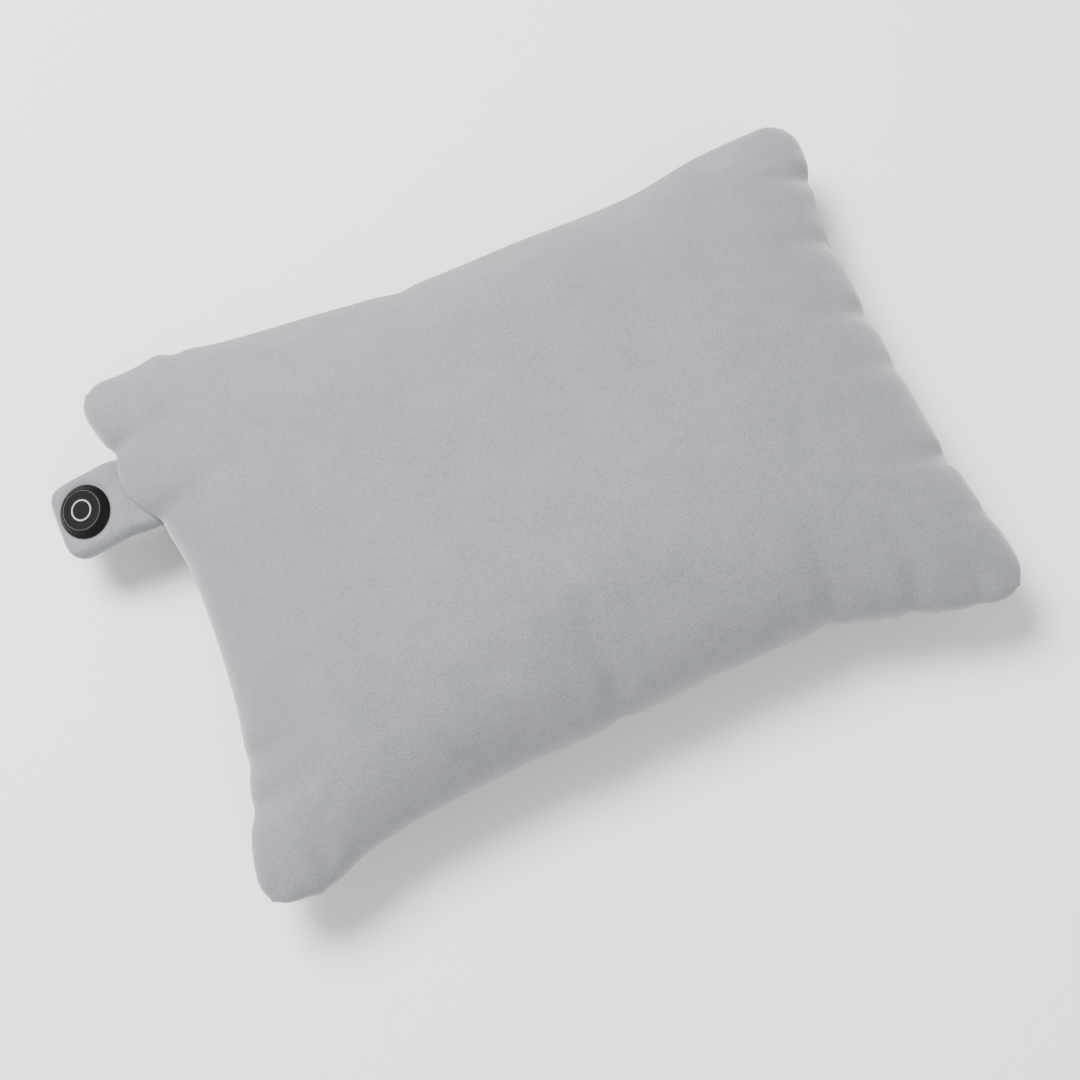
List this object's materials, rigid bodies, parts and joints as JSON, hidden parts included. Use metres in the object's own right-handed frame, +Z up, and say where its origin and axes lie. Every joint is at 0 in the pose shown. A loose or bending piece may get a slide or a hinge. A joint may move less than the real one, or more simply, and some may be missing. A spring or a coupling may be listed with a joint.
{
  "type": "camp pillow",
  "caption": "Soft plush camp pillow with a zip-off cover, a heating pad inside and a round push button on a fabric tab at one end seam.",
  "frame": {"origin": "middle of the pillow between its four corner tips, on the flat patch of the underside that it rests on", "axes": "+X along the pillow's length, away from the tab; +Y towards the long edge with the zip; +Z up"},
  "size_m": [0.4544, 0.3034, 0.1093],
  "materials": {
    "plush_grey": "short plush pile",
    "casing_white": "plain woven",
    "fibre_white": "loose fibre",
    "felt_grey": "felt",
    "heater_red": "satin",
    "black_plastic": "satin",
    "light_guide": "translucent",
    "board_green": "solder mask",
    "foam": "open-cell foam",
    "cable_black": "satin",
    "steel": "plain",
    "cell_silver": "foil",
    "zip_grey": "nylon",
    "zip_metal": "satin"
  },
  "bodies": {
    "pillow": {"cover_top_panel": "plush_grey", "cover_bottom_panel": "plush_grey", "inner_casing_top": "casing_white", "inner_casing_bottom": "casing_white", "fibre_fill": "fibre_white", "heater_cover_felt": "felt_grey", "heater_carrier_felt": "felt_grey", "heater_wire": "heater_red", "thermistor": "black_plastic", "heater_lead": "cable_black", "battery_lead": "cable_black", "battery_plug": "black_plastic", "battery_socket": "steel", "battery_case_base": "black_plastic", "battery_case_lid": "black_plastic", "battery_cell_left": "cell_silver", "battery_cell_right": "cell_silver", "battery_board": "board_green", "battery_pocket": "casing_white", "tab_seam_strip": "plush_grey", "zip_coil_upper": "zip_grey", "zip_coil_lower": "zip_grey", "zip_tape_upper": "zip_grey", "zip_tape_lower": "zip_grey", "zip_top_stop": "zip_metal", "zip_bottom_stop": "zip_metal"},
    "tab": {"tab_sleeve_top": "plush_grey", "tab_sleeve_bottom": "plush_grey", "tab_padding": "foam", "controller_cable": "cable_black", "cable_grommet": "cable_black", "controller_housing": "black_plastic", "control_board": "board_green", "switch_body": "black_plastic", "led_1": "light_guide", "led_2": "light_guide", "led_3": "light_guide", "led_4": "light_guide", "housing_screw_1": "steel", "housing_screw_2": "steel", "housing_screw_3": "steel", "button_bezel": "black_plastic"},
    "button": {"button_cap": "black_plastic", "light_ring": "light_guide", "switch_plunger": "black_plastic"},
    "zip_slider": {"zip_slider": "zip_metal"},
    "zip_puller": {"zip_puller": "zip_metal"}
  },
  "joints": [
    {"name": "tab_flex", "type": "hinge", "parent": "pillow", "child": "tab", "pos_m": [-0.2032, 0.082, 0.046], "axis": [0, 1, 0], "range_deg": [-20, 70], "stiffness_Nm_per_rad": 0.2},
    {"name": "button_press", "type": "slide", "parent": "tab", "child": "button", "axis": [0.2924, 0, -0.9563], "range_m": [0, 0.0005], "stiffness_N_per_m": 600, "springref_m": -0.001},
    {"name": "zip_slide", "type": "slide", "parent": "pillow", "child": "zip_slider", "axis": [-1, 0, 0], "range_m": [0, 0.2332]},
    {"name": "zip_pull_swing", "type": "hinge", "parent": "zip_slider", "child": "zip_puller", "pos_m": [0.1166, 0.134, 0.046], "axis": [0, 0, 1], "range_deg": [0, 150]}
  ]
}
